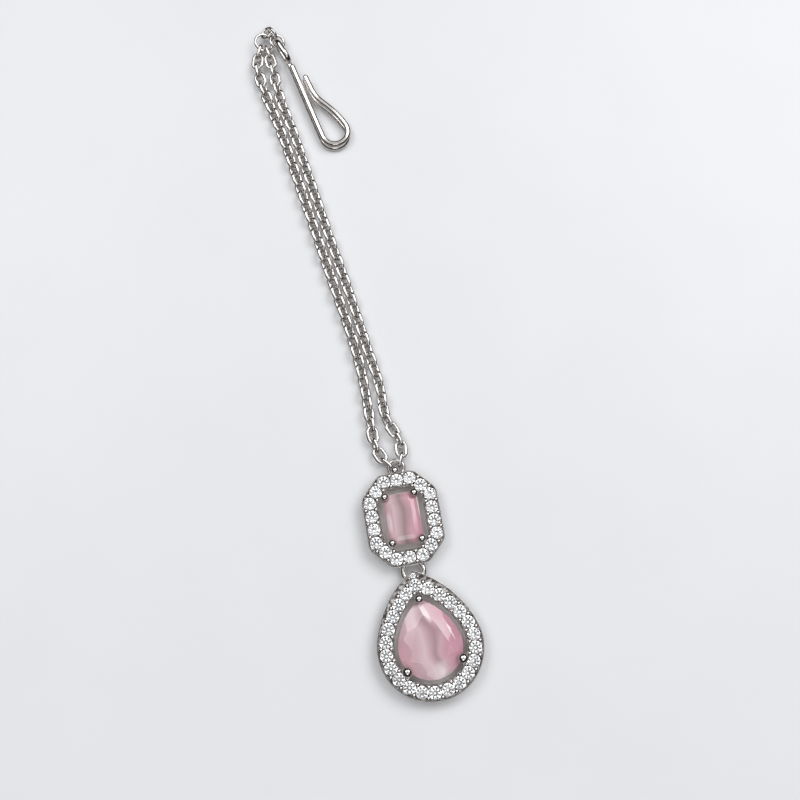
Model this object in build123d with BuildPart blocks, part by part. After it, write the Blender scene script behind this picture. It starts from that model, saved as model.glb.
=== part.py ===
"""Maang tikka, a forehead ornament, lying flat as it would on a table.

A pear drop and an octagon station, each a pink stone in a halo of small white stones, are joined
by a round ring.  A bail ring joins the octagon to two strands of cable chain, four small rings
gather the strands at the top, and the last of them holds the loop of a hair hook, which is bent
from two wires soldered one on the other.

Millimetres.  +Y runs from the drop to the hook end, +Z is up, z = 0 is the surface it lies on, and
the origin is the middle of its outline at that surface.  Places are measured from the foot of the
drop, and `at` carries them to the origin.
"""

import os
from collections import namedtuple
from math import asin, atan2, ceil, cos, degrees, hypot, radians, sin, sqrt

from build123d import *

os.makedirs("parts", exist_ok=True)

Pear = namedtuple("Pear", "radius side_radius tip tip_radius")
Octagon = namedtuple("Octagon", "width height cut_x cut_y corner_radius")
Prong = namedtuple("Prong", "ball_x ball_y post_x post_y ball_radius")
Facets = namedtuple("Facets", "count first inset height slope")
Ring = namedtuple("Ring", "name x y z facing radius wire")

# ------------------------------------------------------------------ driving dimensions

MIDDLE = (1.92, 72.32)   # middle of the whole outline, from the foot of the drop

# heights of the two settings above the table
LEDGE_TOP = 0.6          # inner ledge that carries the prongs; its underside is the flat back
PLATE_UNDERSIDE = 1.6    # the halo plate stands over the hanging rings
FLOOR = 2.4              # floor between the halo stones
RIM_TOP = 2.85           # thin raised edges, one round the outside and one round the opening
RIM = 0.22               # width of those edges
GALLERY = 0.8            # wall between the ledge and the plate

# halo stones, their seats, and the grains of metal that hold them
HALO_RADIUS = 1.2
TIP_RADIUS = 0.5         # the one small stone in the point of the drop
SEAT_PLAY = 0.05
GIRDLE = 2.68            # height of the halo stones' lower girdle edge
GRAIN_RADIUS = 0.41
GRAIN_HEIGHT = 2.9       # middle of a grain's round head, on its stem
GRAIN_AWAY = 0.98        # from the line of the stones to the middle of a grain

# pear drop
DROP_PLACE = (1.85, 10.0)
DROP_LEAN = 0.2          # degrees to the right of +Y
DROP_OUTSIDE = Pear(radius=10.1, side_radius=20.1, tip=14.5, tip_radius=1.3)
DROP_OPENING = Pear(radius=6.85, side_radius=15.0, tip=10.1, tip_radius=0.9)
DROP_LEDGE = Pear(radius=5.55, side_radius=13.1, tip=8.2, tip_radius=0.5)
DROP_HALO = Pear(radius=8.47, side_radius=18.5, tip=11.75, tip_radius=1.4)
DROP_HALF_STEPS = 11.5   # 23 stones, one of them on the tip
TIP_STONE = (0, 13.6)
TIP_GRAINS = ((0.85, 13.25), (-0.85, 13.25))
TIP_GRAIN_RADIUS = 0.32
DROP_STONE = Pear(radius=6.12, side_radius=13.0, tip=8.95, tip_radius=0.7)
DROP_PRONGS = (
    Prong(ball_x=0.0, ball_y=9.05, post_x=0.0, post_y=9.42, ball_radius=0.88),
    Prong(ball_x=5.36, ball_y=-3.46, post_x=5.52, post_y=-3.56, ball_radius=1.0),
    Prong(ball_x=-5.36, ball_y=-3.46, post_x=-5.52, post_y=-3.56, ball_radius=1.0),
)

# octagon station
OCTAGON_PLACE = (2.74, 34.65)
OCTAGON_LEAN = 4.3
OCTAGON_OUTSIDE = Octagon(width=14.8, height=18.1, cut_x=3.85, cut_y=4.1, corner_radius=2.3)
OCTAGON_BAND = 3.05
OCTAGON_LEDGE_WIDTH = 1.5
OCTAGON_HALF_STEPS = 9   # 18 stones, one at mid top and one at mid bottom
OCTAGON_STONE_SIZE = (6.8, 9.85)
OCTAGON_STONE_CUT = 1.25
OCTAGON_PRONG = Prong(ball_x=2.87, ball_y=4.47, post_x=3.09, post_y=4.69, ball_radius=0.78)

# prongs and the two main stones
POST_RADIUS = 0.38
MAIN_GIRDLE = 2.9        # height of the main stones' lower girdle edge
GIRDLE_BAND = 0.12
BALL_ABOVE_GIRDLE = 1.1
PEAR_CROWN = 1.1
PEAR_PAVILION = 2.1
STEP_CROWN = 1.0
STEP_PAVILION = 2.15

# lugs soldered under the plates, and the rings that pass through them
LUG_RADIUS = 0.79
LUG_WIRE = 0.36
LUG_HEIGHT = 0.98
BAIL_LUG = (3.81, 43.33)
DROP_RING_LUGS = (26.56, 22.56)
BAIL_BEAD = (3.46, 44.15, 2.78)  # round bead soldered to the octagon's top edge, over the bail ring
BAIL_BEAD_RADIUS = 0.75

# round rings; the lower two hang in the lugs, and the upper four link the strands to the hook
RINGS = (
    Ring("drop_ring", 2.25, 24.56, 0.98, facing=(0, 0, 1), radius=2.0, wire=1.0),
    Ring("bail_ring", 3.9, 44.8, 1.15, facing=(0, -0.105, 0.995), radius=1.475, wire=0.75),
    Ring("strand_ring", -1.16, 141.06, 1.47, facing=(0.30, -0.11, 0.95), radius=1.85, wire=0.6),
    Ring("joining_ring_1", -0.05, 143.23, 1.3, facing=(-0.45, 0.33, 0.83), radius=1.3, wire=0.55),
    Ring("joining_ring_2", 1.05, 142.38, 1.93, facing=(-0.87, -0.47, 0.12), radius=1.3, wire=0.55),
    Ring("hook_ring", 1.62, 140.42, 1.86, facing=(0.37, 0.0, 0.93), radius=1.5, wire=0.58),
)

# chain
LINK_LENGTH = 3.71
LINK_WIDTH = 2.6
LINK_WIRE = 0.66
LINK_PITCH = 2.2
LINK_ROLL = 45           # every other link leans this way, the rest lean the other way
ROLL_PLAY = 3            # small unevenness of that lean
END_LINKS = 6            # links over which a strand turns so that its last link stands upright

# x, y, z of each strand's middle line, from the bail ring to the strand ring
LEFT_STRAND = (
    (2.4, 46.04, 1.33),
    (1.74, 47.19, 1.31),
    (1, 49.66, 1.27),
    (1.02, 53.02, 1.29),
    (1.5, 59, 1.1),
    (1.9, 68, 1.08),
    (1.38, 77, 1.08),
    (-0.01, 93.5, 1.08),
    (-1.43, 111.5, 1.08),
    (-2.27, 120.5, 1.08),
    (-3.16, 127, 1.13),
    (-3.74, 132.46, 1.33),
    (-3.67, 136, 1.46),
    (-3.01, 138, 1.46),
    (-2.54, 138.95, 1.52),
)
RIGHT_STRAND = (
    (5.15, 46.06, 1.41),
    (5.54, 47.2, 1.39),
    (5.65, 50.36, 1.28),
    (4.44, 54.46, 1.2),
    (4.6, 60, 1.1),
    (4.26, 68, 1.08),
    (3.72, 77, 1.08),
    (2.35, 93.5, 1.08),
    (0.93, 111.5, 1.08),
    (0.12, 120.5, 1.1),
    (-0.77, 129, 1.27),
    (-0.71, 134.5, 1.3),
    (-0.87, 138.56, 1.31),
)

# hair hook
HOOK_WIRE = 1.15
HOOK_EYE_LENGTH = 6.25   # over the wire
HOOK_EYE_HEIGHT = 4.2
HOOK_EYE_CENTRE = (2.23, 137.53)
HOOK_EYE_TURN = -71.9    # degrees from +X of the loop's long axis
SHANK_START = (3.45, 133.5, 2.3)
LOWER_WIRE = (-0.22, -0.42, -0.93)   # from the upper wire to the one soldered under it
LOWER_LEAD = 2.1         # extra length of the lower wire, which joins the eye
SHANK_TURN = -81.2       # degrees from +X
SHANK_DROP = 2.3         # degrees that it runs down to the table
SHANK = 16.95
BEND_RADIUS = 2.75
BEND_TURN = 192.5
RETURN_BOW_RADIUS = 22
RETURN_BOW_TURN = 18
TIP_BOW_RADIUS = 8
TIP_BOW_TURN = -28
TIP_LENGTH = 3.0


def at(x, y, z=0.0):
    """A place measured from the foot of the drop, carried to the part's origin."""
    return (x - MIDDLE[0], y - MIDDLE[1], z)


def leaning_plane(place, lean):
    """Level plane whose own +Y leans `lean` degrees clockwise from the part's +Y."""
    turn = radians(-lean)
    return Plane(origin=at(*place), x_dir=(cos(turn), sin(turn), 0), z_dir=(0, 0, 1))


DROP_PLANE = leaning_plane(DROP_PLACE, DROP_LEAN)
OCTAGON_PLANE = leaning_plane(OCTAGON_PLACE, OCTAGON_LEAN)

# ------------------------------------------------------------------ outlines


def pear_centres(pear):
    """Tip circle's centre, then the side arc's centre and the turns where it starts and ends."""
    tip_centre = pear.tip - pear.tip_radius
    reach = pear.side_radius - pear.radius
    tip_reach = pear.side_radius - pear.tip_radius
    rise = (tip_centre**2 - tip_reach**2 + reach**2) / (2 * tip_centre)
    aside = sqrt(reach**2 - rise**2)
    low_turn = degrees(atan2(-rise, aside))
    tip_turn = degrees(atan2(tip_centre - rise, aside))
    return tip_centre, rise, aside, low_turn, tip_turn


def pear_reach(pear, around):
    """Distance from the origin to the line that touches the pear on the side facing `around`."""
    tip_centre, rise, aside, low_turn, tip_turn = pear_centres(pear)
    turn = degrees(asin(sin(radians(around))))
    if turn < low_turn:
        return pear.radius
    if turn < tip_turn:
        return pear.side_radius - aside * cos(radians(turn)) + rise * sin(radians(turn))
    return pear.tip_radius + tip_centre * sin(radians(turn))


def inner_octagon(octagon, inset):
    """The parallel octagon `inset` inside another."""
    slant = hypot(octagon.cut_x, octagon.cut_y)
    lost = inset * (octagon.cut_x + octagon.cut_y - slant)
    return Octagon(
        width=octagon.width - 2 * inset,
        height=octagon.height - 2 * inset,
        cut_x=octagon.cut_x - lost / octagon.cut_y,
        cut_y=octagon.cut_y - lost / octagon.cut_x,
        corner_radius=max(octagon.corner_radius - inset, 0.3),
    )


def draw_half(shape):
    """The right half of an outline, from its top to its foot."""
    if isinstance(shape, Pear):
        tip_centre, rise, aside, low_turn, tip_turn = pear_centres(shape)
        CenterArc((0, tip_centre), shape.tip_radius, 90, tip_turn - 90)
        CenterArc((-aside, rise), shape.side_radius, tip_turn, low_turn - tip_turn)
        CenterArc((0, 0), shape.radius, low_turn, -90 - low_turn)
        return
    side = shape.width / 2
    top = shape.height / 2
    FilletPolyline(
        (0, top),
        (side - shape.cut_x, top),
        (side, top - shape.cut_y),
        (side, shape.cut_y - top),
        (side - shape.cut_x, -top),
        (0, -top),
        radius=shape.corner_radius,
    )


def whole_face(shape):
    """A pear or an octagon as a face, centred on its own origin."""
    with BuildSketch() as face:
        with BuildLine():
            draw_half(shape)
            mirror(about=Plane.YZ)
        make_face()
    return face.sketch


def spots_along(shape, half_steps, first):
    """Equally spaced spots on an outline, as (x, y, outward x, outward y).

    The first is `first` steps from the top, and both halves mirror one another.
    """
    with BuildLine() as half:
        draw_half(shape)
    line = half.wire()
    step = line.length / half_steps
    count = int(half_steps - first + 0.01) + 1
    right = []
    for number in range(count):
        length = (first + number) * step
        point = line.position_at(length, PositionMode.LENGTH)
        along = line.tangent_at(length, PositionMode.LENGTH)
        right.append((point.X, point.Y, -along.Y, along.X))
    left = [(-x, y, -out_x, out_y) for x, y, out_x, out_y in right if x > 0.01]
    return right + left


def grain_spots(shape, half_steps):
    """Middle points of the grains, inside and outside the line, halfway between the stones."""
    spots = []
    for x, y, out_x, out_y in spots_along(shape, half_steps, 0.5):
        spots.append((x + GRAIN_AWAY * out_x, y + GRAIN_AWAY * out_y, GRAIN_HEIGHT))
        spots.append((x - GRAIN_AWAY * out_x, y - GRAIN_AWAY * out_y, GRAIN_HEIGHT))
    return spots


OCTAGON_OPENING = inner_octagon(OCTAGON_OUTSIDE, OCTAGON_BAND)
OCTAGON_HALO = inner_octagon(OCTAGON_OUTSIDE, OCTAGON_BAND / 2)
OCTAGON_STONE_SPOTS = spots_along(OCTAGON_HALO, OCTAGON_HALF_STEPS, 0)
DROP_STONE_SPOTS = spots_along(DROP_HALO, DROP_HALF_STEPS, 0)

# ------------------------------------------------------------------ cut stones


def facet(reach, around, height, slope):
    """Plane of a facet that faces `around` and is tipped `slope` degrees from facing up."""
    out = Vector(cos(radians(around)), sin(radians(around)), 0)
    normal = out * sin(radians(slope)) + Vector(0, 0, cos(radians(slope)))
    return Plane(origin=out * reach + Vector(0, 0, height), z_dir=normal)


def facet_planes(rings, reach_at):
    """Every plane of some rings of facets; `reach_at` gives the girdle's reach on each side."""
    planes = []
    for ring in rings:
        for number in range(ring.count):
            around = ring.first + number * 360 / ring.count
            planes.append(facet(reach_at(around) - ring.inset, around, ring.height, ring.slope))
    return planes


def brilliant(radius):
    """Round brilliant with a table, crown and pavilion; its lower girdle edge is at z = 0."""
    band = 0.08 * radius
    crown = 0.32 * radius
    rings = (
        Facets(count=8, first=0, inset=0, height=band, slope=34),
        Facets(count=16, first=11.25, inset=0.019 * radius, height=band, slope=42),
        Facets(count=8, first=22.5, inset=0.514 * radius, height=band + crown, slope=20),
        Facets(count=8, first=0, inset=0, height=0, slope=180 - 41),
        Facets(count=16, first=11.25, inset=0.019 * radius, height=0, slope=180 - 43),
    )
    with BuildPart() as stone:
        with BuildSketch(Plane.XY.offset(-radius)):
            RegularPolygon(radius, 16)
        extrude(amount=radius + band + crown)
        for plane in facet_planes(rings, lambda around: radius):
            split(bisect_by=plane, keep=Keep.BOTTOM)
    return stone.part


def pear_brilliant():
    """Pear cut with a wide table, a low crown and a shallow pavilion."""
    table_inset = PEAR_CROWN / sin(radians(23)) * cos(radians(23))
    rings = (
        Facets(count=8, first=0, inset=0, height=GIRDLE_BAND, slope=23),
        Facets(count=16, first=11.25, inset=0, height=GIRDLE_BAND, slope=29),
        Facets(
            count=8, first=22.5, inset=table_inset + 0.25,
            height=GIRDLE_BAND + PEAR_CROWN, slope=14,
        ),
        Facets(count=8, first=0, inset=0, height=0, slope=180 - 20),
        Facets(count=16, first=11.25, inset=0, height=0, slope=180 - 25),
    )
    with BuildPart() as stone:
        with BuildSketch(Plane.XY.offset(-PEAR_PAVILION)):
            add(whole_face(DROP_STONE))
        extrude(amount=PEAR_PAVILION + GIRDLE_BAND + PEAR_CROWN)
        for plane in facet_planes(rings, lambda around: pear_reach(DROP_STONE, around)):
            split(bisect_by=plane, keep=Keep.BOTTOM)
    return stone.part


def step_cut():
    """Octagonal step cut: three steps above the girdle and three below, on all eight sides."""
    half_width = OCTAGON_STONE_SIZE[0] / 2
    half_height = OCTAGON_STONE_SIZE[1] / 2
    corner_reach = (half_width + half_height - OCTAGON_STONE_CUT) / sqrt(2)
    sides = {0: half_width, 90: half_height, 180: half_width, 270: half_height}
    rings = (
        Facets(count=8, first=0, inset=0, height=GIRDLE_BAND, slope=48),
        Facets(count=8, first=0, inset=0.32, height=GIRDLE_BAND + 0.355, slope=36),
        Facets(count=8, first=0, inset=0.80, height=GIRDLE_BAND + 0.70, slope=22),
        Facets(count=8, first=0, inset=0, height=0, slope=180 - 50),
        Facets(count=8, first=0, inset=0.6, height=-0.715, slope=180 - 38),
        Facets(count=8, first=0, inset=1.5, height=-1.42, slope=180 - 24),
    )
    with BuildPart() as stone:
        with BuildSketch(Plane.XY.offset(-STEP_PAVILION)) as blank:
            Rectangle(*OCTAGON_STONE_SIZE)
            chamfer(blank.vertices(), OCTAGON_STONE_CUT)
        extrude(amount=STEP_PAVILION + GIRDLE_BAND + STEP_CROWN)
        for plane in facet_planes(rings, lambda around: sides.get(round(around), corner_reach)):
            split(bisect_by=plane, keep=Keep.BOTTOM)
    return stone.part


# ------------------------------------------------------------------ settings


def setting_walls(outside, floor_outside, floor_inside, wall, opening, ledge):
    """Halo plate with its raised edges, the gallery wall under it and the ledge at its foot."""
    with BuildPart() as walls:
        with BuildSketch(Plane.XY.offset(PLATE_UNDERSIDE)):
            add(whole_face(outside))
        extrude(amount=RIM_TOP - PLATE_UNDERSIDE)
        fillet(walls.edges().group_by(Axis.Z)[0], radius=0.2)
        fillet(walls.edges().group_by(Axis.Z)[-1], radius=0.08)
        with BuildSketch(Plane.XY.offset(FLOOR)):
            add(whole_face(floor_outside))
            add(whole_face(floor_inside), mode=Mode.SUBTRACT)
        extrude(amount=RIM_TOP - FLOOR, mode=Mode.SUBTRACT)
        with BuildSketch():
            add(whole_face(wall))
        extrude(amount=PLATE_UNDERSIDE)
        with BuildSketch(Plane.XY.offset(LEDGE_TOP)):
            add(whole_face(opening))
        extrude(amount=RIM_TOP - LEDGE_TOP, mode=Mode.SUBTRACT)
        with BuildSketch():
            add(whole_face(ledge))
        extrude(amount=LEDGE_TOP, mode=Mode.SUBTRACT)
    return walls.part


def seat(radius):
    """What is cut away for one halo stone: room for its girdle, a cone and a through hole."""
    rim = radius + SEAT_PLAY
    drill = radius / 2
    cone_foot = GIRDLE - (rim - drill) * sin(radians(41)) / cos(radians(41))
    with BuildPart() as hole:
        with BuildSketch(Plane.XZ):
            with BuildLine():
                Polyline(
                    (0, PLATE_UNDERSIDE - 0.05),
                    (drill, PLATE_UNDERSIDE - 0.05),
                    (drill, cone_foot),
                    (rim, GIRDLE),
                    (rim, RIM_TOP + 0.5),
                    (0, RIM_TOP + 0.5),
                    close=True,
                )
            make_face()
        revolve(axis=Axis.Z)
    return hole.part


def grain(radius):
    """Round-headed grain of metal on its stem, with the middle of the head at the origin."""
    with BuildPart() as raised:
        Sphere(radius)
        Cylinder(
            0.75 * radius, GRAIN_HEIGHT - FLOOR + 0.05,
            align=(Align.CENTER, Align.CENTER, Align.MAX),
        )
    return raised.part


def lug(x, y):
    """Plane of a soldered loop that stands along the part's length."""
    return Plane(origin=at(x, y, LUG_HEIGHT), x_dir=(0, 1, 0), z_dir=(1, 0, 0))


def wide_pear(pear, more):
    """The parallel pear `more` outside another."""
    return Pear(pear.radius + more, pear.side_radius + more, pear.tip + more, pear.tip_radius + more)


with BuildPart() as octagon_frame:
    with Locations(OCTAGON_PLANE):
        add(
            setting_walls(
                OCTAGON_OUTSIDE,
                inner_octagon(OCTAGON_OUTSIDE, RIM),
                inner_octagon(OCTAGON_OUTSIDE, OCTAGON_BAND - RIM),
                inner_octagon(OCTAGON_OUTSIDE, OCTAGON_BAND - GALLERY),
                OCTAGON_OPENING,
                inner_octagon(OCTAGON_OUTSIDE, OCTAGON_BAND + OCTAGON_LEDGE_WIDTH),
            )
        )
        with Locations(*grain_spots(OCTAGON_HALO, OCTAGON_HALF_STEPS)):
            add(grain(GRAIN_RADIUS))
        with GridLocations(2 * OCTAGON_PRONG.post_x, 2 * OCTAGON_PRONG.post_y, 2, 2):
            with Locations((0, 0, LEDGE_TOP / 2)):
                Cylinder(
                    POST_RADIUS, MAIN_GIRDLE + BALL_ABOVE_GIRDLE - LEDGE_TOP / 2,
                    align=(Align.CENTER, Align.CENTER, Align.MIN),
                )
        with GridLocations(2 * OCTAGON_PRONG.ball_x, 2 * OCTAGON_PRONG.ball_y, 2, 2):
            with Locations((0, 0, MAIN_GIRDLE + GIRDLE_BAND + BALL_ABOVE_GIRDLE)):
                Sphere(OCTAGON_PRONG.ball_radius)
    with Locations(lug(*BAIL_LUG), lug(RINGS[0].x, DROP_RING_LUGS[0])):
        Torus(LUG_RADIUS, LUG_WIRE / 2)
    with Locations(at(*BAIL_BEAD)):
        Sphere(BAIL_BEAD_RADIUS)
    with Locations(OCTAGON_PLANE):
        with Locations(*[(x, y) for x, y, _, _ in OCTAGON_STONE_SPOTS]):
            add(seat(HALO_RADIUS), mode=Mode.SUBTRACT)
octagon_frame.part.label = "octagon_frame"
export_step(octagon_frame.part, "parts/octagon_frame.step")

with BuildPart() as drop_frame:
    with Locations(DROP_PLANE):
        add(
            setting_walls(
                DROP_OUTSIDE,
                wide_pear(DROP_OUTSIDE, -RIM),
                wide_pear(DROP_OPENING, RIM),
                wide_pear(DROP_OPENING, GALLERY),
                DROP_OPENING,
                DROP_LEDGE,
            )
        )
        with Locations(*grain_spots(DROP_HALO, DROP_HALF_STEPS)):
            add(grain(GRAIN_RADIUS))
        with Locations(*[(x, y, GRAIN_HEIGHT) for x, y in TIP_GRAINS]):
            add(grain(TIP_GRAIN_RADIUS))
        with Locations(*[(prong.post_x, prong.post_y, LEDGE_TOP / 2) for prong in DROP_PRONGS]):
            Cylinder(
                POST_RADIUS, MAIN_GIRDLE + BALL_ABOVE_GIRDLE - LEDGE_TOP / 2,
                align=(Align.CENTER, Align.CENTER, Align.MIN),
            )
        for prong in DROP_PRONGS:
            ball_height = MAIN_GIRDLE + GIRDLE_BAND + BALL_ABOVE_GIRDLE
            with Locations((prong.ball_x, prong.ball_y, ball_height)):
                Sphere(prong.ball_radius)
    with Locations(lug(RINGS[0].x, DROP_RING_LUGS[1])):
        Torus(LUG_RADIUS, LUG_WIRE / 2)
    with Locations(DROP_PLANE):
        with Locations(*[(x, y) for x, y, _, _ in DROP_STONE_SPOTS]):
            add(seat(HALO_RADIUS), mode=Mode.SUBTRACT)
        with Locations(TIP_STONE):
            add(seat(TIP_RADIUS), mode=Mode.SUBTRACT)
drop_frame.part.label = "drop_frame"
export_step(drop_frame.part, "parts/drop_frame.step")

# ------------------------------------------------------------------ stones in their settings

with BuildPart() as octagon_stone:
    with Locations(OCTAGON_PLANE.offset(MAIN_GIRDLE)):
        add(step_cut())
octagon_stone.part.label = "octagon_stone"
export_step(octagon_stone.part, "parts/octagon_stone.step")

with BuildPart() as drop_stone:
    with Locations(DROP_PLANE.offset(MAIN_GIRDLE)):
        add(pear_brilliant())
drop_stone.part.label = "drop_stone"
export_step(drop_stone.part, "parts/drop_stone.step")

HALO_STONE = brilliant(HALO_RADIUS)


def export_halo_stone(plane, x, y, cut_stone, name):
    """One halo stone in its seat, written as a part of its own."""
    with BuildPart() as halo_stone:
        with Locations(plane.offset(GIRDLE)):
            with Locations((x, y)):
                add(cut_stone)
    halo_stone.part.label = name
    export_step(halo_stone.part, f"parts/{name}.step")


for number, (x, y, _, _) in enumerate(OCTAGON_STONE_SPOTS, start=1):
    export_halo_stone(OCTAGON_PLANE, x, y, HALO_STONE, f"octagon_halo_stone_{number:02d}")
for number, (x, y, _, _) in enumerate(DROP_STONE_SPOTS, start=1):
    export_halo_stone(DROP_PLANE, x, y, HALO_STONE, f"drop_halo_stone_{number:02d}")
export_halo_stone(DROP_PLANE, *TIP_STONE, brilliant(TIP_RADIUS), "drop_halo_stone_24")

# ------------------------------------------------------------------ rings and chain

for ring in RINGS:
    with BuildPart() as round_ring:
        with Locations(Plane(origin=at(ring.x, ring.y, ring.z), z_dir=ring.facing)):
            Torus(ring.radius, ring.wire / 2)
    round_ring.part.label = ring.name
    export_step(round_ring.part, f"parts/{ring.name}.step")


def oval_loop(length, width, wire):
    """Closed wire loop with straight sides and round ends, its length along Y."""
    bend = (width - wire) / 2
    straight = (length - width) / 2
    with BuildPart() as loop:
        with BuildLine() as path:
            Line((bend, -straight), (bend, straight))
            CenterArc((0, straight), bend, 0, 180)
            Line((-bend, straight), (-bend, -straight))
            CenterArc((0, -straight), bend, 180, 180)
        with BuildSketch(Plane(origin=(bend, -straight, 0), z_dir=(0, 1, 0))):
            Circle(wire / 2)
        sweep(path=path.wire())
    return loop.part


def heading(degrees_from_x):
    """Level direction at an angle from +X."""
    return Vector(cos(radians(degrees_from_x)), sin(radians(degrees_from_x)), 0)


def link_planes(waypoints):
    """Planes of the links that make one strand, equally spaced, each turned across the last."""
    with BuildLine() as route:
        Spline(*[at(*point) for point in waypoints])
    line = route.wire()
    last = ceil(line.length / LINK_PITCH)
    lean_of_last = 1 if last % 2 == 0 else -1
    planes = []
    for number in range(last + 1):
        length = number * line.length / last
        along = line.tangent_at(length, PositionMode.LENGTH)
        lean = 1 if number % 2 == 0 else -1
        upright = max(0, 1 - number / END_LINKS)
        upright += lean_of_last * max(0, 1 - (last - number) / END_LINKS)
        play = ROLL_PLAY * sin(2.4 * number) * (1 - abs(upright))
        roll = radians(LINK_ROLL * (lean + upright) + play)
        side = along.cross(Vector(0, 0, 1)).normalized()
        across = side * cos(roll) + side.cross(along) * sin(roll)
        middle = line.position_at(length, PositionMode.LENGTH)
        planes.append(Plane(origin=middle, x_dir=across, z_dir=across.cross(along)))
    return planes


LINK = oval_loop(LINK_LENGTH, LINK_WIDTH, LINK_WIRE)

with BuildPart() as chain_left:
    with Locations(*link_planes(LEFT_STRAND)):
        add(LINK)
chain_left.part.label = "chain_left"
export_step(chain_left.part, "parts/chain_left.step")

with BuildPart() as chain_right:
    with Locations(*link_planes(RIGHT_STRAND)):
        add(LINK)
chain_right.part.label = "chain_right"
export_step(chain_right.part, "parts/chain_right.step")

# ------------------------------------------------------------------ hair hook

EYE_AXIS = heading(HOOK_EYE_TURN)
EYE_PLANE = Plane(
    origin=at(*HOOK_EYE_CENTRE, HOOK_EYE_HEIGHT / 2),
    x_dir=(0, 0, 1),
    z_dir=Vector(0, 0, 1).cross(EYE_AXIS),
)
SHANK_AXIS = heading(SHANK_TURN) * cos(radians(SHANK_DROP)) - Vector(0, 0, sin(radians(SHANK_DROP)))
SHANK_NORMAL = SHANK_AXIS.cross(heading(SHANK_TURN + 90))


def hook_wire(start, lead):
    """One of the hook's two wires; `lead` is its extra length before the shank."""
    with BuildPart() as bent:
        with BuildLine(Plane(origin=start, x_dir=SHANK_AXIS, z_dir=SHANK_NORMAL)) as path:
            straight = Line((-lead, 0), (SHANK, 0))
            bend = JernArc(straight @ 1, straight % 1, BEND_RADIUS, BEND_TURN)
            bow = JernArc(bend @ 1, bend % 1, RETURN_BOW_RADIUS, RETURN_BOW_TURN)
            tip_bow = JernArc(bow @ 1, bow % 1, TIP_BOW_RADIUS, TIP_BOW_TURN)
            PolarLine(tip_bow @ 1, TIP_LENGTH, direction=tip_bow % 1)
        middle = path.wire()
        with BuildSketch(Plane(origin=middle @ 0, z_dir=SHANK_AXIS)):
            Circle(HOOK_WIRE / 2)
        sweep(path=middle)
        with Locations(middle @ 0, middle @ 1):
            Sphere(HOOK_WIRE / 2)
    return bent.part


with BuildPart() as hair_hook:
    with Locations(EYE_PLANE):
        add(oval_loop(HOOK_EYE_LENGTH, HOOK_EYE_HEIGHT, HOOK_WIRE))
    upper_start = Vector(*at(*SHANK_START))
    add(hook_wire(upper_start, 0))
    add(hook_wire(upper_start + Vector(*LOWER_WIRE), LOWER_LEAD))
hair_hook.part.label = "hair_hook"
export_step(hair_hook.part, "parts/hair_hook.step")
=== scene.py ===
from math import cos, pi, radians, sin

import bmesh
import bpy
import numpy as np
from mathutils import Matrix, Vector


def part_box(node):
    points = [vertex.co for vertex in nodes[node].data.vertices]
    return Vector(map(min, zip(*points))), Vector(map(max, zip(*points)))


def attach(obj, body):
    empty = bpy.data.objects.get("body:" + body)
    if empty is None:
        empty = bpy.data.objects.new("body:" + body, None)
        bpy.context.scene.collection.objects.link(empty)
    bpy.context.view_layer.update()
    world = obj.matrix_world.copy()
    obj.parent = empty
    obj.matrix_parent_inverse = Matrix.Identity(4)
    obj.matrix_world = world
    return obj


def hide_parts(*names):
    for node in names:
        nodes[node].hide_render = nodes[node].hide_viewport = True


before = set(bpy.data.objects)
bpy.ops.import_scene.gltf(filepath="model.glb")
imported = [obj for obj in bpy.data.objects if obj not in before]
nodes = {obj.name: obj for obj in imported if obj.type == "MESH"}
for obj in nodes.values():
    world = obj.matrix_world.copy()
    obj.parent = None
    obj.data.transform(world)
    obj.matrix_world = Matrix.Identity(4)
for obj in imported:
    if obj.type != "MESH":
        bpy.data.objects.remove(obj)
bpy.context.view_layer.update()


# ---------------------------------------------------------------- settings
# Two cast brass settings, rhodium plated and polished: a halo plate on a gallery wall, with raised
# grains between the small stones and ball-ended prongs at the main stone.
# Each is one casting, and its lugs are soldered under the plate.

MM = 0.001


def linear(hex_colour):
    """An sRGB hex colour as the linear RGBA that Blender's sockets take."""
    channels = [int(hex_colour[start:start + 2], 16) / 255 for start in (1, 3, 5)]
    evened = [c / 12.92 if c <= 0.04045 else ((c + 0.055) / 1.055) ** 2.4 for c in channels]
    return (*evened, 1.0)


def add_node(tree, kind, inputs=(), **settings):
    """A node with its settings; inputs are (own input, another node's output or a value)."""
    node = tree.nodes.new(kind)
    for name, value in settings.items():
        if hasattr(node, name):
            setattr(node, name, value)
        else:
            node.inputs[name.replace("_", " ")].default_value = value
    for socket, source in inputs:
        if isinstance(source, bpy.types.NodeSocket):
            tree.links.new(source, node.inputs[socket])
        else:
            node.inputs[socket].default_value = source
    return node


def new_material(name):
    """A material with an empty node tree, and that tree."""
    material = bpy.data.materials.new(name)
    material.use_nodes = True
    material.node_tree.nodes.clear()
    return material, material.node_tree


HALO_FLOOR = 2.4 * MM        # height of the floor between the small stones
FULL_SHADE_TO = 0.03 * MM       # as far as this from the floor the painted shade is full
NO_SHADE_FROM = 0.2 * MM      # and from here on there is none
SHADE_PATCH_WIDTH = 0.8 * MM       # darker and paler patches of the painted shade on the floor
FROSTED_AND_PAINTED_TO = 0.65 * MM       # the ledge round the main stone is frosted, and painted paler, up to this height
POLISHED_FROM = 0.8 * MM     # and the wall above it is polished from here
HOLLOW_ROUGHNESS = 0.45
FROST_METALLIC = 0.15        # frost scatters light almost as white paint does


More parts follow.
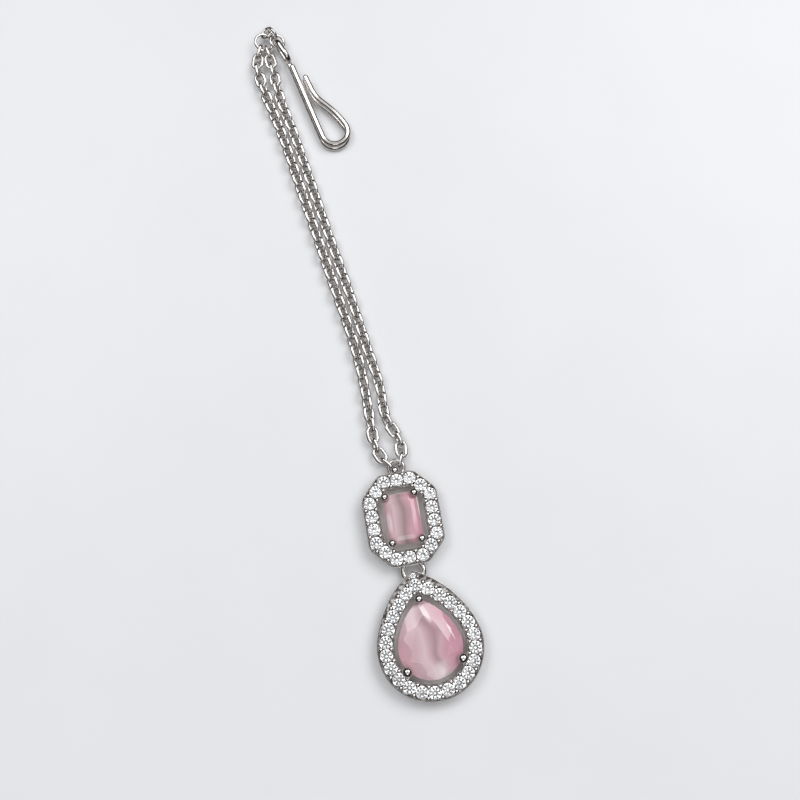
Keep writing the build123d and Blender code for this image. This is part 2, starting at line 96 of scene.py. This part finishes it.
def painted_light_in_hollows(tree, place, colour, roughness):
    """Painted shade and light in the hollows: painted shade on the floor between the small stones,
    in random darker and paler patches, and painted light on the ledge, which is also frosted and
    less metallic.  Gives the colour, roughness and metallic sockets."""
    height = add_node(tree, "ShaderNodeSeparateXYZ", [("Vector", place)]).outputs["Z"]
    # Painted shade on the floor between the small stones, fading out just above and below it.
    above = add_node(
        tree, "ShaderNodeMath", [(0, height), (1, HALO_FLOOR)], operation="SUBTRACT")
    away = add_node(tree, "ShaderNodeMath", [(0, above.outputs[0])], operation="ABSOLUTE")
    floor_shade = add_node(
        tree, "ShaderNodeMapRange", [("Value", away.outputs[0])],
        From_Min=FULL_SHADE_TO, From_Max=NO_SHADE_FROM, To_Min=1.0, To_Max=0.0,
    ).outputs["Result"]
    # The painted shade is broken into random darker and paler patches.
    patches = add_node(
        tree, "ShaderNodeTexNoise", [("Vector", place)], Scale=1 / SHADE_PATCH_WIDTH, Detail=2.0)
    shade_patch = add_node(
        tree, "ShaderNodeMapRange", [("Value", patches.outputs["Fac"])],
        From_Min=0.4, From_Max=0.6, To_Min=0.0, To_Max=1.0,
    )
    painted_floor_shade = add_node(
        tree, "ShaderNodeMix", [("Factor", shade_patch.outputs["Result"])],
        data_type="RGBA", A=linear("#504B49"), B=linear("#D3CFCD"),
    )
    shaded_floor = add_node(
        tree, "ShaderNodeMix",
        [("Factor", floor_shade), ("A", colour), ("B", painted_floor_shade.outputs["Result"])],
        data_type="RGBA",
    )
    # The ledge: frosted and less metallic, and its colour painted paler, painted light where it
    # lies in shade.
    ledge_frost_and_light = add_node(
        tree, "ShaderNodeMapRange", [("Value", height)],
        From_Min=FROSTED_AND_PAINTED_TO, From_Max=POLISHED_FROM, To_Min=1.0, To_Max=0.0,
    ).outputs["Result"]
    with_painted_light = add_node(
        tree, "ShaderNodeMix", [("Factor", ledge_frost_and_light), ("A", shaded_floor.outputs["Result"])],
        data_type="RGBA", B=linear("#F0EDEB"),
    )
    hollow = add_node(
        tree, "ShaderNodeMath", [(0, floor_shade), (1, ledge_frost_and_light)], operation="MAXIMUM")
    softened = add_node(
        tree, "ShaderNodeMath", [(0, hollow.outputs[0]), (1, HOLLOW_ROUGHNESS)],
        operation="MULTIPLY")
    roughened = add_node(
        tree, "ShaderNodeMath", [(0, softened.outputs[0]), (1, roughness)], operation="MAXIMUM")
    mirror = add_node(
        tree, "ShaderNodeMapRange", [("Value", ledge_frost_and_light)], To_Min=1.0, To_Max=FROST_METALLIC)
    return with_painted_light.outputs["Result"], roughened.outputs[0], mirror.outputs["Result"]


RIPPLE_WIDTH = 1.6 * MM      # waves left by casting or bending, under the plate
RIPPLE_DEPTH = 0.05 * MM
HAZE_WIDTH = 0.35 * MM       # polishing haze, drawn coarser than it is so that it shows
CLEAREST, HAZIEST = 0.05, 0.13     # roughness


def polished_rhodium(name, unevenness, painted_hollow_light=None):
    """Rhodium plate over polished brass: a bright mirror, softened by ripples and a fine polishing
    haze.  The last argument, when given, is the function that paints shade on the floor between
    the small stones and paints the ledge paler."""
    material, tree = new_material(name)
    place = add_node(tree, "ShaderNodeTexCoord").outputs["Object"]
    ripple = add_node(
        tree, "ShaderNodeTexNoise", [("Vector", place)],
        Scale=1 / RIPPLE_WIDTH, Detail=3.0, Roughness=0.55,
    ).outputs["Fac"]
    haze = add_node(
        tree, "ShaderNodeTexNoise", [("Vector", place)],
        Scale=1 / HAZE_WIDTH, Detail=4.0, Roughness=0.6,
    )
    roughness = add_node(
        tree, "ShaderNodeMapRange", [("Value", haze.outputs["Fac"])],
        From_Min=0.35, From_Max=0.7, To_Min=CLEAREST, To_Max=HAZIEST,
    ).outputs["Result"]
    colour = add_node(
        tree, "ShaderNodeMix", [("Factor", ripple)],
        data_type="RGBA", A=linear("#D8D5D2"), B=linear("#C9C4C2"),
    ).outputs["Result"]
    metallic = 1.0
    # Painted shade on the floor between the small stones and painted light on the ledge, when
    # given.
    if painted_hollow_light:
        colour, roughness, metallic = painted_hollow_light(tree, place, colour, roughness)
    bump = add_node(
        tree, "ShaderNodeBump", [("Height", ripple)],
        Strength=unevenness, Distance=RIPPLE_DEPTH,
    )
    surface = add_node(
        tree, "ShaderNodeBsdfPrincipled",
        [
            ("Base Color", colour),
            ("Roughness", roughness),
            ("Metallic", metallic),
            ("Normal", bump.outputs["Normal"]),
        ],
    )
    add_node(tree, "ShaderNodeOutputMaterial", [("Surface", surface.outputs["BSDF"])])
    return material


MERGE_DISTANCE = 0.0005 * MM     # a CAD node's corners nearer than this are one corner


def smooth_copy(node_name, sharp_degrees):
    """A merged, smoothly shaded copy of a CAD node, with its hard edges kept."""
    mesh = nodes[node_name].data.copy()
    mesh.name = node_name
    shape = bmesh.new()
    shape.from_mesh(mesh)
    bmesh.ops.remove_doubles(shape, verts=shape.verts, dist=MERGE_DISTANCE)
    limit = radians(sharp_degrees)
    for edge in shape.edges:
        edge.smooth = len(edge.link_faces) == 2 and edge.calc_face_angle(0) < limit
    for face in shape.faces:
        face.smooth = True
    shape.to_mesh(mesh)
    shape.free()
    return mesh


def new_object(name, data):
    """An object in the scene, at the origin."""
    thing = bpy.data.objects.new(name, data)
    bpy.context.scene.collection.objects.link(thing)
    return thing


def dress(mesh, name, node_name, material):
    """A finished piece that stands for one CAD node, which it hides, and carries the given
    material.
    """
    piece = new_object(name, mesh)
    mesh.materials.clear()
    mesh.materials.append(material)
    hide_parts(node_name)
    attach(piece, "root")


CAST_UNEVENNESS = 0.3
CAST_EDGE = 25               # degrees: a casting's sharper edges stay hard
# The settings carry painted shade on the floor between the small stones and a ledge painted paler.
SETTING_METAL = polished_rhodium("polished_rhodium_casting", CAST_UNEVENNESS, painted_light_in_hollows)
for name in ("octagon_frame", "drop_frame"):
    setting = smooth_copy(name, CAST_EDGE)
    dress(setting, name.replace("frame", "setting"), name, SETTING_METAL)


# ---------------------------------------------------------------- rings
# Round rings of drawn wire, closed and soldered, rhodium plated like the settings.
# Each is rolled again as a smooth torus on the place and size of its CAD ring.

def ring_frame(node_name):
    """Middle, facing direction, middle-line radius and wire radius of a round ring."""
    corners = np.array([vertex.co[:] for vertex in nodes[node_name].data.vertices])
    middle = (corners.max(axis=0) + corners.min(axis=0)) / 2
    away = corners - middle
    _, turns = np.linalg.eigh(away.T @ away)
    facing = turns[:, 0]
    height = away @ facing
    wire = height.max()
    radius = np.linalg.norm(away - np.outer(height, facing), axis=1).max() - wire
    return Vector(middle), Vector(facing), radius, wire


RING_STEPS = 72              # faces round the ring
WIRE_STEPS = 20              # faces round its wire


def ring_mesh(node_name):
    """A smooth torus that lies where the CAD ring lies."""
    middle, facing, radius, wire = ring_frame(node_name)
    turn = Vector((0, 0, 1)).rotation_difference(facing).to_matrix()
    shape = bmesh.new()
    rows = []
    for step in range(RING_STEPS):
        around = 2 * pi * step / RING_STEPS
        out = Vector((cos(around), sin(around), 0))
        row = []
        for part in range(WIRE_STEPS):
            tilt = 2 * pi * part / WIRE_STEPS
            spot = out * (radius + wire * cos(tilt)) + Vector((0, 0, wire * sin(tilt)))
            row.append(shape.verts.new(middle + turn @ spot))
        rows.append(row)
    for step in range(RING_STEPS):
        here, after = rows[step], rows[(step + 1) % RING_STEPS]
        for part in range(WIRE_STEPS):
            beside = (part + 1) % WIRE_STEPS
            face = shape.faces.new((here[part], after[part], after[beside], here[beside]))
            face.smooth = True
    bmesh.ops.recalc_face_normals(shape, faces=shape.faces)
    mesh = bpy.data.meshes.new(node_name)
    shape.to_mesh(mesh)
    shape.free()
    return mesh


DRAWN_UNEVENNESS = 0.1
RHODIUM = polished_rhodium("polished_rhodium_wire", DRAWN_UNEVENNESS)
for name in (
    "drop_ring", "bail_ring", "strand_ring", "joining_ring_1", "joining_ring_2", "hook_ring",
):
    dress(ring_mesh(name), name + "_wire", name, RHODIUM)


# ---------------------------------------------------------------- hair hook
# Two lengths of round wire, one soldered on the other: a loop that stands at the ring end, a long
# shank, an open bend and points that come back along the shank.  Bent together, soldered, plated.

WIRE_EDGE = 40               # degrees: only the wires' cut ends stay hard
hook = smooth_copy("hair_hook", WIRE_EDGE)
dress(hook, "bent_wire_hook", "hair_hook", RHODIUM)


# ---------------------------------------------------------------- chain strands
# Two strands of straight-sided cable chain in drawn wire, every link soldered, with each link
# turned a quarter across the last.  One tree sets a link on every place that the CAD strand
# gives it.

LINK_LENGTH = 3.75 * MM
LINK_WIDTH = 2.66 * MM
LINK_WIRE = 0.72 * MM        # a little over the CAD's, for strands that look full


def link_places(node_name):
    """Middle, length direction and facing direction of each loose link of a strand."""
    shape = bmesh.new()
    shape.from_mesh(nodes[node_name].data)
    bmesh.ops.remove_doubles(shape, verts=shape.verts, dist=MERGE_DISTANCE)
    counted = set()
    places = []
    for first in shape.verts:
        if first in counted:
            continue
        counted.add(first)
        reached = [first]
        for vertex in reached:
            for edge in vertex.link_edges:
                other = edge.other_vert(vertex)
                if other not in counted:
                    counted.add(other)
                    reached.append(other)
        corners = np.array([vertex.co[:] for vertex in reached])
        _, turns = np.linalg.eigh(np.cov((corners - corners.mean(axis=0)).T))
        along = Vector(turns[:, 2])
        facing = Vector(turns[:, 0])
        spread = corners @ turns
        middle = turns @ ((spread.max(axis=0) + spread.min(axis=0)) / 2)
        places.append((Vector(middle), along, facing))
    shape.free()
    return places


def points_mesh(places):
    """The links' middles as loose points that carry both directions."""
    mesh = bpy.data.meshes.new("link_points")
    mesh.from_pydata([middle for middle, _, _ in places], [], [])
    for number, name in ((1, "along"), (2, "facing")):
        values = mesh.attributes.new(name, "FLOAT_VECTOR", "POINT")
        values.data.foreach_set("vector", [c for place in places for c in place[number]])
    return mesh


def start_tree(name, sizes):
    """A Geometry Nodes tree with a named input for each size, and its input sockets."""
    tree = bpy.data.node_groups.new(name, "GeometryNodeTree")
    face = tree.interface
    face.new_socket("Geometry", in_out="INPUT", socket_type="NodeSocketGeometry")
    for size in sizes:
        face.new_socket(size, in_out="INPUT", socket_type="NodeSocketFloat")
    face.new_socket("Geometry", in_out="OUTPUT", socket_type="NodeSocketGeometry")
    return tree, add_node(tree, "NodeGroupInput").outputs


def end_tree(tree, instances, material):
    """The tree's last nodes: its instances made real, shaded smooth and given their material."""
    geometry = instances
    for kind, settings in (
        ("GeometryNodeRealizeInstances", {}),
        ("GeometryNodeSetShadeSmooth", {}),
        ("GeometryNodeSetMaterial", {"Material": material}),
    ):
        step = add_node(tree, kind, [("Geometry", geometry)], **settings)
        geometry = step.outputs["Geometry"]
    add_node(tree, "NodeGroupOutput", [("Geometry", geometry)])


BEND_SHARE = 0.4999          # of the link's width: just under half, so that the bends never meet
BEND_STEPS = 7
LINK_WIRE_STEPS = 12


def link_tree(material):
    """Geometry Nodes: one stadium-shaped wire link, set on every point and turned to it."""
    tree, given = start_tree("cable_chain", ("Link Length", "Link Width", "Wire"))
    middle_length = add_node(
        tree, "ShaderNodeMath", [(0, given["Link Length"]), (1, given["Wire"])],
        operation="SUBTRACT")
    middle_width = add_node(
        tree, "ShaderNodeMath", [(0, given["Link Width"]), (1, given["Wire"])],
        operation="SUBTRACT")
    bend = add_node(
        tree, "ShaderNodeMath", [(0, middle_width.outputs[0]), (1, BEND_SHARE)],
        operation="MULTIPLY")
    wire_radius = add_node(
        tree, "ShaderNodeMath", [(0, given["Wire"]), (1, 0.5)], operation="MULTIPLY")
    box = add_node(
        tree, "GeometryNodeCurvePrimitiveQuadrilateral",
        [("Width", middle_width.outputs[0]), ("Height", middle_length.outputs[0])],
    )
    loop = add_node(
        tree, "GeometryNodeFilletCurve",
        [("Curve", box.outputs["Curve"]), ("Radius", bend.outputs[0])],
        mode="POLY", Count=BEND_STEPS,
    )
    section = add_node(
        tree, "GeometryNodeCurvePrimitiveCircle", [("Radius", wire_radius.outputs[0])],
        Resolution=LINK_WIRE_STEPS,
    )
    link = add_node(
        tree, "GeometryNodeCurveToMesh",
        [("Curve", loop.outputs["Curve"]), ("Profile Curve", section.outputs["Curve"])],
    )
    along, facing = (
        add_node(tree, "GeometryNodeInputNamedAttribute", data_type="FLOAT_VECTOR", Name=name)
        for name in ("along", "facing")
    )
    turn = add_node(
        tree, "FunctionNodeAxesToRotation",
        [
            ("Primary Axis", along.outputs["Attribute"]),
            ("Secondary Axis", facing.outputs["Attribute"]),
        ],
        primary_axis="Y", secondary_axis="Z",
    )
    set_links = add_node(
        tree, "GeometryNodeInstanceOnPoints",
        [
            ("Points", given["Geometry"]),
            ("Instance", link.outputs["Mesh"]),
            ("Rotation", turn.outputs["Rotation"]),
        ],
    )
    end_tree(tree, set_links.outputs["Instances"], material)
    return tree


def grown_mesh(base_mesh, tree, values):
    """What a tree makes of a mesh, as a plain mesh."""
    grower = new_object("grower", base_mesh)
    modifier = grower.modifiers.new("tree", "NODES")
    modifier.node_group = tree
    for item in tree.interface.items_tree:
        if item.item_type == "SOCKET" and item.in_out == "INPUT" and item.name in values:
            modifier[item.identifier] = values[item.name]
    view = bpy.context.evaluated_depsgraph_get()
    mesh = bpy.data.meshes.new_from_object(grower.evaluated_get(view))
    bpy.data.objects.remove(grower)
    return mesh


CABLE_CHAIN = link_tree(RHODIUM)
LINK_SIZES = {"Link Length": LINK_LENGTH, "Link Width": LINK_WIDTH, "Wire": LINK_WIRE}
for name in ("chain_left", "chain_right"):
    strand = grown_mesh(points_mesh(link_places(name)), CABLE_CHAIN, LINK_SIZES)
    lowest = min(vertex.co.z for vertex in strand.vertices)
    rise = max(0, -lowest)       # the fuller wire would dip into the table by this much
    strand.transform(Matrix.Translation((0, 0, rise)))
    dress(strand, name.replace("chain", "strand"), name, RHODIUM)


# ---------------------------------------------------------------- white stones
# Round brilliants of cubic zirconia, set in drilled seats and held by the grains.
# The cut facets come from the solids; the stone is clear, and its high index makes it flash.

TONE_WIDTH = 1.4 * MM        # half a stone, so that no two have quite the same tone


def cubic_zirconia():
    """Clear zirconia: strong white flashes and dark facets, with a faint cool tint inside."""
    material, tree = new_material("cubic_zirconia")
    place = add_node(tree, "ShaderNodeTexCoord")
    tone = add_node(
        tree, "ShaderNodeTexNoise", [("Vector", place.outputs["Object"])],
        Scale=1 / TONE_WIDTH, Detail=1.0,
    )
    tint = add_node(
        tree, "ShaderNodeMix", [("Factor", tone.outputs["Fac"])],
        data_type="RGBA", A=linear("#FFFFFF"), B=linear("#EEF0F4"),
    )
    surface = add_node(
        tree, "ShaderNodeBsdfPrincipled", [("Base Color", tint.outputs["Result"])],
        Roughness=0.0, IOR=2.15, Transmission_Weight=1.0,
    )
    add_node(tree, "ShaderNodeOutputMaterial", [("Surface", surface.outputs["BSDF"])])
    return material


FACET_EDGE = 2               # degrees: every edge between two facets stays hard
SPIN_STEP = 137.5            # degrees that each stone is turned in its seat past the one before
SEAT_TIP = 3.0               # degrees that a stone is tipped, each a different way


def seated_stone(node_name, number):
    """A small stone turned and slightly tipped in its seat, as each one is after setting."""
    low, high = (Vector(corner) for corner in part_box(node_name))
    middle = Matrix.Translation((low + high) / 2)
    way = radians(SPIN_STEP * number)
    spin = Matrix.Rotation(way, 4, "Z")
    tip = Matrix.Rotation(radians(SEAT_TIP), 4, Vector((cos(way), sin(way), 0)))
    mesh = smooth_copy(node_name, FACET_EDGE)
    mesh.transform(middle @ tip @ spin @ middle.inverted())
    return mesh


ZIRCONIA = cubic_zirconia()
halo_names = sorted(name for name in nodes if "halo_stone" in name)
for number, name in enumerate(halo_names):
    dress(seated_stone(name, number), name + "_cut", name, ZIRCONIA)


# ---------------------------------------------------------------- grain heads
# The heads of the grains that hold the white stones: metal pushed over the stones' edges on both
# sides of each joint between two stones, and burnished round with a cupped tool.

GRAIN_HEAD = 0.47 * MM       # radius
GRAIN_AWAY = 1.0 * MM        # from the line of the stones
GRAIN_MIDDLE = 3.12 * MM     # height above the table
LEAST_WIDTH = 2.0 * MM       # the stone in the drop's point is smaller, and has its own grains
NEIGHBOURS = 2.8 * MM        # stones with their middles nearer than this lie side by side
BEAD_DETAIL = 3              # how often the bead's faces are split


def grain_points(halo):
    """Middle points of the grain heads of one halo."""
    boxes = [[Vector(corner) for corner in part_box(name)] for name in halo_names if halo in name]
    middles = [(low + high) / 2 for low, high in boxes if high.x - low.x > LEAST_WIDTH]
    points = []
    for number, one in enumerate(middles):
        for other in middles[number + 1:]:
            gap = other - one
            if gap.length < NEIGHBOURS:
                outward = Vector((-gap.y, gap.x, 0)).normalized() * GRAIN_AWAY
                joint = Vector(((one.x + other.x) / 2, (one.y + other.y) / 2, GRAIN_MIDDLE))
                points += [joint + outward, joint - outward]
    return points


def bead_tree(material):
    """Geometry Nodes: one round bead on every point."""
    tree, given = start_tree("grain_heads", ("Bead Radius",))
    bead = add_node(
        tree, "GeometryNodeMeshIcoSphere", [("Radius", given["Bead Radius"])],
        Subdivisions=BEAD_DETAIL,
    )
    set_beads = add_node(
        tree, "GeometryNodeInstanceOnPoints",
        [("Points", given["Geometry"]), ("Instance", bead.outputs["Mesh"])],
    )
    end_tree(tree, set_beads.outputs["Instances"], material)
    return tree


GRAIN_HEADS = bead_tree(RHODIUM)
for halo in ("octagon", "drop"):
    base = bpy.data.meshes.new(halo + "_grain_points")
    base.from_pydata(grain_points(halo), [], [])
    beads = grown_mesh(base, GRAIN_HEADS, {"Bead Radius": GRAIN_HEAD})
    piece = new_object(halo + "_grain_heads", beads)
    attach(piece, "root")


# ---------------------------------------------------------------- pink stones
# A step-cut octagon and a pear brilliant in milky rose glass, polished, with cloudy bands inside
# that run along the stone, and painted highlights where single facets catch the light.  Held by
# the ball prongs over a ledge.

SWIRL_WIDTH = 5.5 * MM       # the clouds
SWIRL_SHARE = 0.45           # how far the clouds push the bands to and fro
BAND_START, BAND_END = -0.22, 0.78     # where the stone's two sides lie in its row of bands
# how strongly the painted highlights whiten the stone at their cores
PAINTED_HIGHLIGHT_STRENGTH = 0.85
SCATTER_DEPTH = 0.8 * MM     # how far light spreads inside the milky glass


def milky_rose_glass(node_name, lean, bands, painted_highlights):
    """Milky rose glass: a soft pink body with grey-pink and paler clouds in bands along the stone,
    painted highlights of pale pink where single facets catch the light, and a sharp polish on top."""
    material, tree = new_material("milky_rose_glass")
    low, high = (Vector(corner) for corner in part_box(node_name))
    half_width = (high.x - low.x) / 2
    place = add_node(tree, "ShaderNodeTexCoord").outputs["Object"]
    centred = add_node(
        tree, "ShaderNodeVectorMath", [(0, place), (1, (low + high) / 2)], operation="SUBTRACT")
    lay = add_node(
        tree, "ShaderNodeMapping", [("Vector", centred.outputs[0])],
        Rotation=(0, 0, radians(lean)),
    ).outputs["Vector"]
    swirl = add_node(
        tree, "ShaderNodeTexNoise", [("Vector", lay)],
        Scale=1 / SWIRL_WIDTH, Detail=1.0, Roughness=0.4,
    )
    across = add_node(tree, "ShaderNodeSeparateXYZ", [("Vector", lay)])
    position = add_node(
        tree, "ShaderNodeMapRange", [("Value", across.outputs["X"])],
        From_Min=-half_width, From_Max=half_width, To_Min=BAND_START, To_Max=BAND_END,
    )
    stirred = add_node(
        tree, "ShaderNodeMath",
        [(0, swirl.outputs["Fac"]), (1, SWIRL_SHARE), (2, position.outputs["Result"])],
        operation="MULTIPLY_ADD",
    )
    colour = add_node(tree, "ShaderNodeValToRGB", [("Fac", stirred.outputs[0])])
    ramp = colour.color_ramp
    ramp.elements.remove(ramp.elements[1])
    ramp.elements[0].position, ramp.elements[0].color = bands[0][0], linear(bands[0][1])
    for stop, hex_colour in bands[1:]:
        ramp.elements.new(stop).color = linear(hex_colour)
    body = colour.outputs["Color"]
    # Painted highlights: pale pink spots and streaks where single facets catch the light.
    for x, y, half_across, half_along, turn, core in painted_highlights:
        away = add_node(
            tree, "ShaderNodeMapping", [("Vector", lay)], vector_type="TEXTURE",
            Location=(x * MM, y * MM, 0), Rotation=(0, 0, radians(turn)),
            Scale=(half_across * MM, half_along * MM, 1),
        )
        reach = add_node(
            tree, "ShaderNodeVectorMath", [(0, away.outputs["Vector"])], operation="LENGTH")
        highlight = add_node(
            tree, "ShaderNodeMapRange", [("Value", reach.outputs["Value"])],
            From_Min=core, From_Max=1.0, To_Min=PAINTED_HIGHLIGHT_STRENGTH, To_Max=0.0,
        )
        body = add_node(
            tree, "ShaderNodeMix", [("Factor", highlight.outputs["Result"]), ("A", body)],
            data_type="RGBA", B=linear("#F9E8ED"),
        ).outputs["Result"]
    surface = add_node(
        tree, "ShaderNodeBsdfPrincipled", [("Base Color", body)],
        Roughness=0.05, IOR=1.54, Transmission_Weight=0.12, Subsurface_Weight=0.35,
        Subsurface_Radius=(1.0, 0.6, 0.7), Subsurface_Scale=SCATTER_DEPTH,
    )
    add_node(tree, "ShaderNodeOutputMaterial", [("Surface", surface.outputs["BSDF"])])
    return material


# Each band: its place in the row, from 0 to 1 across the stone and its clouds, and its colour.
PEAR_BANDS = (
    (0.0, "#E2B4C1"), (0.2, "#DCBAC3"), (0.38, "#E8CED5"), (0.5, "#CFAEB7"),
    (0.58, "#BC9CA6"), (0.68, "#DAB7C1"), (0.82, "#D6A2B3"), (1.0, "#D09AAC"),
)
OCTAGON_BANDS = (
    (0.0, "#E0B4C1"), (0.25, "#E4C6CE"), (0.42, "#C6ACB0"), (0.52, "#AE9598"),
    (0.62, "#C6A5AD"), (0.75, "#DCAFBC"), (1.0, "#D29EAF"),
)
# Each painted highlight, where a facet catches the light: its middle, half its width and half its
# length in mm, its turn in degrees, and the share of it that stays at full strength.
PEAR_PAINTED_HIGHLIGHTS = (
    (0.4, -6.6, 1.6, 2.6, 0, 0.2), (0.95, 5.0, 0.55, 2.5, 12, 0.75),
    (4.3, 0.5, 0.2, 2.6, 10, 0.6),
)
OCTAGON_PAINTED_HIGHLIGHTS = (
    (-2.7, -0.5, 0.6, 2.5, 0, 0.55), (0.2, 5.0, 2.4, 0.25, 0, 0.6),
    (3.3, 2.2, 0.2, 2.8, 0, 0.6),
)
for name, lean, bands, painted_highlights in (
    ("octagon_stone", 4, OCTAGON_BANDS, OCTAGON_PAINTED_HIGHLIGHTS),
    ("drop_stone", -6, PEAR_BANDS, PEAR_PAINTED_HIGHLIGHTS),
):
    nodes[name].data.materials.clear()
    nodes[name].data.materials.append(milky_rose_glass(name, lean, bands, painted_highlights))


# ---------------------------------------------------------------- table, light and camera
# A pale satin table top in a white tent, with three softboxes shining through the tent's walls.
# The camera looks down through the opening in the tent's roof, leaning a little from upright.

PAINT_PATCH = 25 * MM        # slow changes of tone in rolled paint


def pale_table():
    """Pale painted board with a low sheen, its tone a little uneven."""
    material, tree = new_material("pale_table_top")
    place = add_node(tree, "ShaderNodeTexCoord")
    tone = add_node(
        tree, "ShaderNodeTexNoise", [("Vector", place.outputs["Object"])],
        Scale=1 / PAINT_PATCH, Detail=3.0,
    )
    tint = add_node(
        tree, "ShaderNodeMix", [("Factor", tone.outputs["Fac"])],
        data_type="RGBA", A=linear("#E4E5E8"), B=linear("#E9EAED"),
    )
    surface = add_node(
        tree, "ShaderNodeBsdfPrincipled", [("Base Color", tint.outputs["Result"])], Roughness=0.4)
    add_node(tree, "ShaderNodeOutputMaterial", [("Surface", surface.outputs["BSDF"])])
    return material


TABLE_HALF = 1.5             # metres
table_mesh = bpy.data.meshes.new("table_top")
table_mesh.from_pydata(
    [(-TABLE_HALF, -TABLE_HALF, 0), (TABLE_HALF, -TABLE_HALF, 0),
     (TABLE_HALF, TABLE_HALF, 0), (-TABLE_HALF, TABLE_HALF, 0)],
    [], [(0, 1, 2, 3)],
)
table_mesh.materials.append(pale_table())
table_top = new_object("table_top", table_mesh)
table_top.visible_glossy = False     # the metal mirrors the tent's own floor below, not the board


def turned(degrees_clockwise):
    """Level direction, clockwise from +Y."""
    return Vector((sin(radians(degrees_clockwise)), cos(radians(degrees_clockwise)), 0))


def facing_matrix(place, target, up):
    """A camera's or lamp's matrix at a place, looking at a target."""
    back = (place - target).normalized()
    right = up.cross(back).normalized()
    turn = Matrix((right, back.cross(right), back)).transposed()
    return Matrix.Translation(place) @ turn.to_4x4()


UPRIGHT = Vector((0, 0, 1))
LOOK_AT = Vector((6.11, -14.19, 0)) * MM
VIEW_TURN = 14.127           # degrees that the view is turned clockwise from +Y
VIEW_TILT = 12.8             # degrees that the camera leans from straight down
VIEW_DISTANCE = 222.2 * MM
LENS = 50                    # mm
SENSOR_WIDTH = 36            # mm
NEAREST_SEEN = 10 * MM
camera_data = bpy.data.cameras.new("view")
camera_data.lens = LENS
camera_data.sensor_width = SENSOR_WIDTH
camera_data.clip_start = NEAREST_SEEN
camera = new_object("view", camera_data)
view_up = turned(VIEW_TURN)
tilt = radians(VIEW_TILT)
stand = LOOK_AT + (UPRIGHT * cos(tilt) - view_up * sin(tilt)) * VIEW_DISTANCE
camera.matrix_world = facing_matrix(stand, LOOK_AT, view_up)
bpy.context.scene.camera = camera

# Each softbox looks at the middle of the piece.  Its row: direction in degrees clockwise from +Y,
# degrees above the table, width and length in metres, and radiance.
LAMP_DISTANCE = 1.1          # metres
for name, clockwise, lift, width, length, radiance in (
    ("key_softbox", 60, 50, 0.8, 0.6, 3.5),
    ("fill_softbox", -40, 55, 0.6, 0.45, 3.1),
    ("low_softbox", 190, 45, 0.5, 0.3, 2.2),
):
    lamp_data = bpy.data.lights.new(name, "AREA")
    lamp_data.shape = "RECTANGLE"
    lamp_data.size = width
    lamp_data.size_y = length
    lamp_data.energy = radiance * pi * width * length
    toward = turned(clockwise) * cos(radians(lift)) + UPRIGHT * sin(radians(lift))
    lamp = new_object(name, lamp_data)
    lamp.matrix_world = facing_matrix(toward * LAMP_DISTANCE, Vector((0, 0, 0)), UPRIGHT)

# The tent: bright out to 37 degrees off its axis, dark from 52 degrees on and round the horizon,
# greyer straight up, where the camera's opening is, and paler again well below the horizon, where
# its own floor is.
TENT_TURN = 60               # degrees clockwise from +Y that the tent's axis leans to
TENT_LEAN = radians(7)
WALL_DARK, WALL_BRIGHT = 0.62, 0.8     # cosines of 52 and 37 degrees
HORIZON_LEVEL = 0.04
OPENING_EDGE, OPENING_FULL = 0.965, 0.99     # cosines of 15 and 8 degrees
OPENING_LEVEL = 0.22
GROUND_START, GROUND_FULL = -0.2, -0.7       # sines of 12 and 44 degrees below the horizon
GROUND_LEVEL = 0.6
tent_axis = turned(TENT_TURN) * sin(TENT_LEAN) + UPRIGHT * cos(TENT_LEAN)
world = bpy.data.worlds.new("studio")
world.use_nodes = True
room = world.node_tree
look = add_node(room, "ShaderNodeTexCoord").outputs["Generated"]
toward_axis = add_node(
    room, "ShaderNodeVectorMath", [(0, look), (1, tent_axis)], operation="DOT_PRODUCT")
tent = add_node(
    room, "ShaderNodeMapRange", [("Value", toward_axis.outputs["Value"])],
    From_Min=WALL_DARK, From_Max=WALL_BRIGHT, To_Min=HORIZON_LEVEL, To_Max=1.0,
)
upward = add_node(room, "ShaderNodeSeparateXYZ", [("Vector", look)])
opening = add_node(
    room, "ShaderNodeMapRange", [("Value", upward.outputs["Z"])],
    From_Min=OPENING_EDGE, From_Max=OPENING_FULL, To_Min=1.0, To_Max=OPENING_LEVEL,
)
walls = add_node(
    room, "ShaderNodeMath", [(0, tent.outputs["Result"]), (1, opening.outputs["Result"])],
    operation="MULTIPLY",
)
ground = add_node(
    room, "ShaderNodeMapRange", [("Value", upward.outputs["Z"])],
    From_Min=GROUND_START, From_Max=GROUND_FULL, To_Min=0.0, To_Max=GROUND_LEVEL,
)
brightness = add_node(
    room, "ShaderNodeMath", [(0, walls.outputs[0]), (1, ground.outputs["Result"])],
    operation="ADD",
)
room.links.new(brightness.outputs[0], room.nodes["Background"].inputs["Color"])
bpy.context.scene.world = world
bpy.context.scene.view_settings.view_transform = "Standard"
